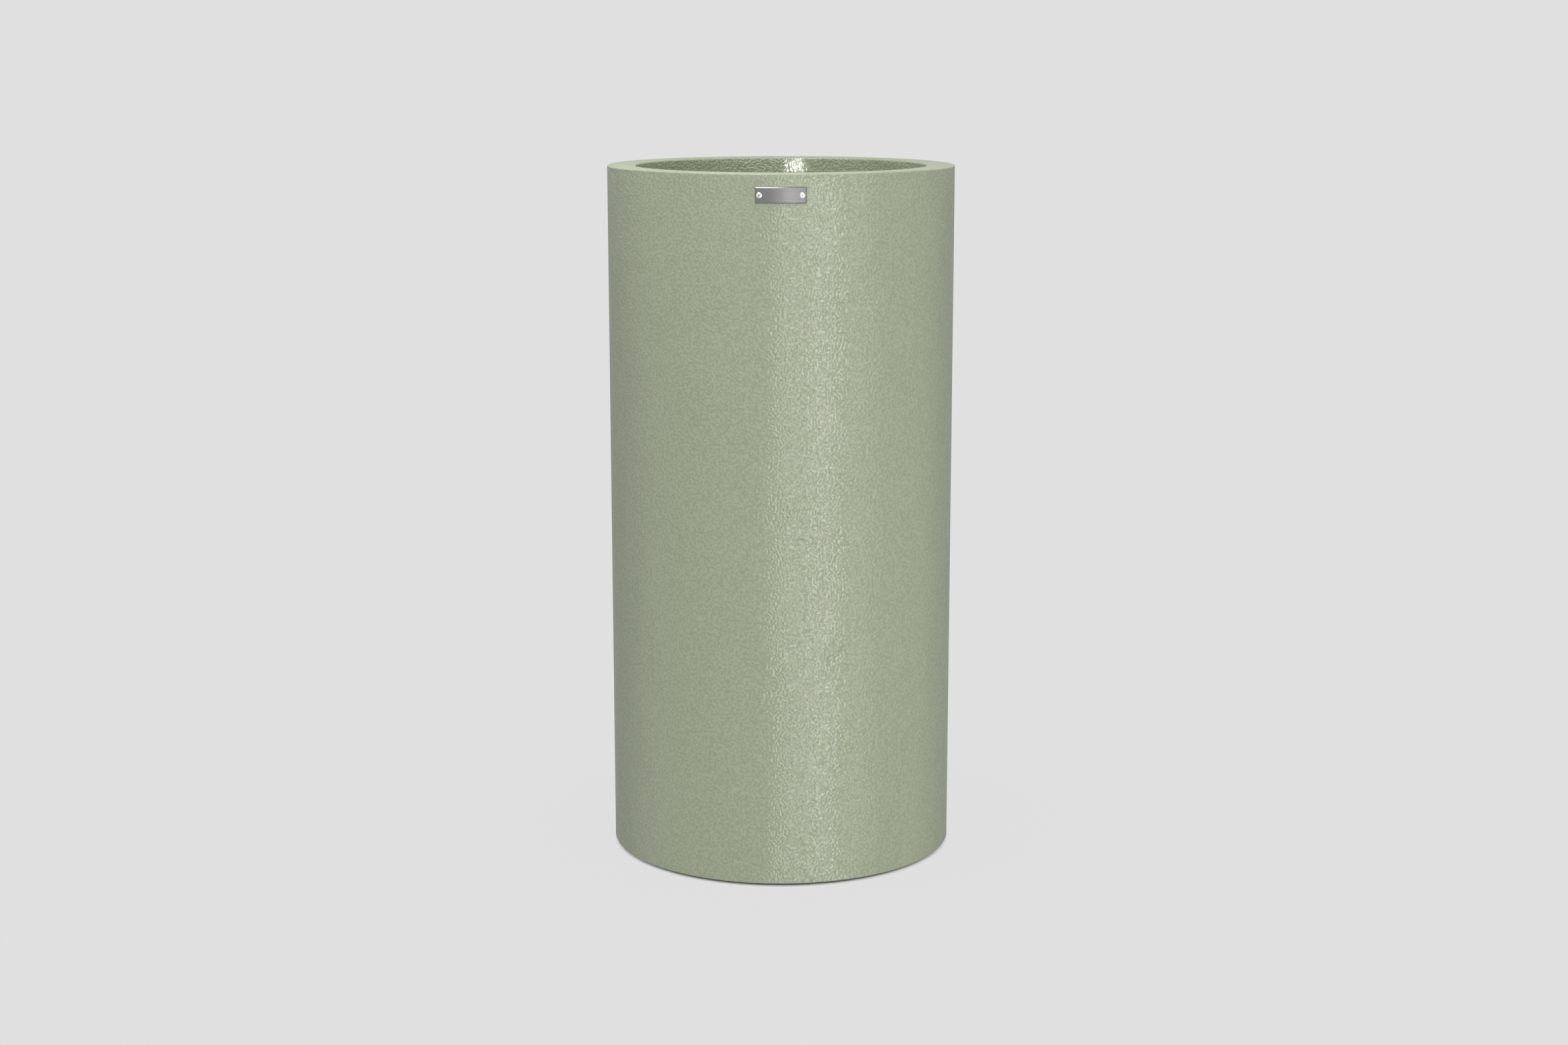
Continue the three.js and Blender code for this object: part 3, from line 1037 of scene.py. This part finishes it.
def rivetStem(name, side, node):
    # the stub of the pulling stem, snapped off below the head's face
    radius = stem["radius"]
    bulb = radius + stem["bulb"]
    snapped = rivet["headHeight"] - stem["snapped"]
    end = -grip - stem["tail"]
    neck = -grip - rivet["tail"] - rivet["seat"]
    corners = [
        (0, snapped - stem["dimple"]),
        (0, end),
        (bulb, end, 0.6 * mm),
        (bulb, neck, 0.2 * mm),
        (radius, neck),
        (radius, snapped, 0.1 * mm),
        (radius * stem["dimpleShare"], snapped),
    ]
    mesh = moved(turned(rounded(corners), stem["segments"]), inPlate(side))
    piece(name, mesh, zinc, "shell", "zinc_steel", node)


namePlate()
for side, hand in ((-1, "left"), (1, "right")):
    rivetBody(f"rivet_{hand}_turned", side, f"rivet_{hand}")
    rivetStem(f"rivet_stem_{hand}", side, f"rivet_stub_{hand}")
print("plate and rivets made")

backdrop = tint(224, 224, 224)


def seenRays(wiring):
    # 1 for rays that show the background: to the camera, in gloss and through glass
    rays = wiring.add("ShaderNodeLightPath")
    mirrored = rays.at("Is Glossy Ray")
    through = rays.at("Is Transmission Ray")
    return rays.at("Is Camera Ray").larger(mirrored).larger(through)


def studioFloor():
    # lit and shaded under the planter, and beyond its edge the plain backdrop with a faint shade
    look = {"size": 30, "near": -11 * mm, "far": 4 * mm, "tail": 0.6, "faint": 0.03}
    finish, wiring = finishNamed("studioFloor")
    reach = wiring.fromAxis(wiring.place())
    edge = wiring.ease(reach, outerRadius + look["near"], outerRadius + look["far"])
    beyond = wiring.ease(reach, outerRadius, look["tail"])
    clear = edge * (1 - look["faint"]) + beyond * look["faint"]
    lit = wiring.add("ShaderNodeBsdfDiffuse", None, {"Color": backdrop, "Roughness": 0.0})
    shown = wiring.add("ShaderNodeEmission", None, {"Color": backdrop, "Strength": 1.0})
    above = wiring.mixed(clear * seenRays(wiring), lit, shown)
    # from below it is see-through, so the underside shows
    below = wiring.add("ShaderNodeNewGeometry").at("Backfacing")
    through = wiring.add("ShaderNodeBsdfTransparent")
    both = wiring.mixed(below, above, through)
    wiring.add("ShaderNodeOutputMaterial", None, {"Surface": both})
    mesh = bmesh.new()
    bmesh.ops.create_grid(mesh, x_segments=1, y_segments=1, size=look["size"])
    floor = looseObject("studioFloor", mesh)
    floor.data.materials.append(finish)
    floor.visible_glossy = False
    floor.visible_shadow = False


def studioWorld():
    # the far end of the studio is dimmer, up to eye level, where gloss mirrors it
    look = {
        "ambient": 0.58,
        "behind": tint(153, 153, 153),
        "start": 0.05,
        "full": 0.75,
        "dimmest": -0.04,
        "clear": 0.06,
    }
    world = bpy.data.worlds.new("studioWorld")
    studio.world = world
    wiring = Wiring(world)
    towards = wiring.add("ShaderNodeSeparateXYZ", None, {0: wiring.add("ShaderNodeTexCoord")})
    glossy = wiring.add("ShaderNodeLightPath").at("Is Glossy Ray")
    behind = wiring.ease(towards.at("Y"), look["start"], look["full"]) * glossy
    behind = behind * (1 - wiring.ease(towards.at("Z"), look["dimmest"], look["clear"]))
    white = (1, 1, 1, 1)
    fill = wiring.add("ShaderNodeBackground", None, {"Color": white, "Strength": look["ambient"]})
    wall = wiring.blend(behind, backdrop, look["behind"])
    shown = wiring.add("ShaderNodeBackground", None, {"Color": wall, "Strength": 1.0})
    both = wiring.mixed(seenRays(wiring), fill, shown)
    wiring.add("ShaderNodeOutputWorld", None, {"Surface": both})


def softbox(name, place, aim, width, tall, radiance):
    # a lamp whose face is that bright, hung at a place and facing its aim
    lamp = bpy.data.lights.new(name, "AREA")
    lamp.shape = "RECTANGLE"
    lamp.size = width
    lamp.size_y = tall
    lamp.energy = radiance * math.pi * width * tall
    light = bpy.data.objects.new(name, lamp)
    light.location = place
    light.rotation_euler = (Vector(aim) - Vector(place)).to_track_quat("-Z", "Y").to_euler()
    light.visible_camera = False
    studio.collection.objects.link(light)
    return light


def keyLight():
    # a bank of upright strips, front right: the stipple sparkles where it mirrors them
    key = {
        "distance": 1.8,
        "middle": 0.35,
        "tall": 2.8,
        # each strip: degrees round to the right, width, radiance
        "strips": ((6, 0.2, 3.2), (27, 0.18, 4.5), (49, 0.14, 2.55)),
    }
    aim = (0, 0, key["middle"])
    for number, (degrees, width, radiance) in enumerate(key["strips"], 1):
        azimuth = math.radians(degrees)
        right = key["distance"] * math.sin(azimuth)
        front = -key["distance"] * math.cos(azimuth)
        place = (right, front, key["middle"])
        softbox(f"keyStrip{number}", place, aim, width, key["tall"], radiance)


def mouthLight():
    # a small snooted lamp just inside the mouth, whose glint shows on the far side of it
    snoot = {
        "place": (-0.0655, -0.193, 0.977),
        "aim": (0.0215, 0.209, 0.992),
        "width": 0.022,
        "tall": 0.02,
        "radiance": 0.65,
    }
    spread = 4
    light = softbox("mouthSnoot", **snoot)
    light.data.spread = math.radians(spread)


frontSoftbox = {
    "place": (-2.2, -4.0, 1.6),
    "aim": (0, 0, 0.5),
    "width": 3.2,
    "tall": 3.0,
    "radiance": 0.18,
}
overheadStrip = {
    "place": (-0.35, -0.5, 1.9),
    "aim": (-0.2, -0.3, 1.0),
    "width": 0.9,
    "tall": 0.3,
    "radiance": 5.2,
}
rimStrip = {
    "place": (-0.15, -0.25, 1.75),
    "aim": (-0.15, -0.25, 1.0),
    "width": 1.2,
    "tall": 0.25,
    "radiance": 4.7,
}
backSoftbox = {
    "place": (0.4, 3.4, 0.6),
    "aim": (0, 0, 0.5),
    "width": 3.0,
    "tall": 2.0,
    "radiance": 1.4,
}

studio.view_settings.view_transform = "Standard"
studioFloor()
studioWorld()
keyLight()
mouthLight()
softbox("frontSoftbox", **frontSoftbox)
softbox("overheadStrip", **overheadStrip)
softbox("rimStrip", **rimStrip)
backLight = softbox("backSoftbox", **backSoftbox)
backLight.visible_glossy = False
print("stage lit")
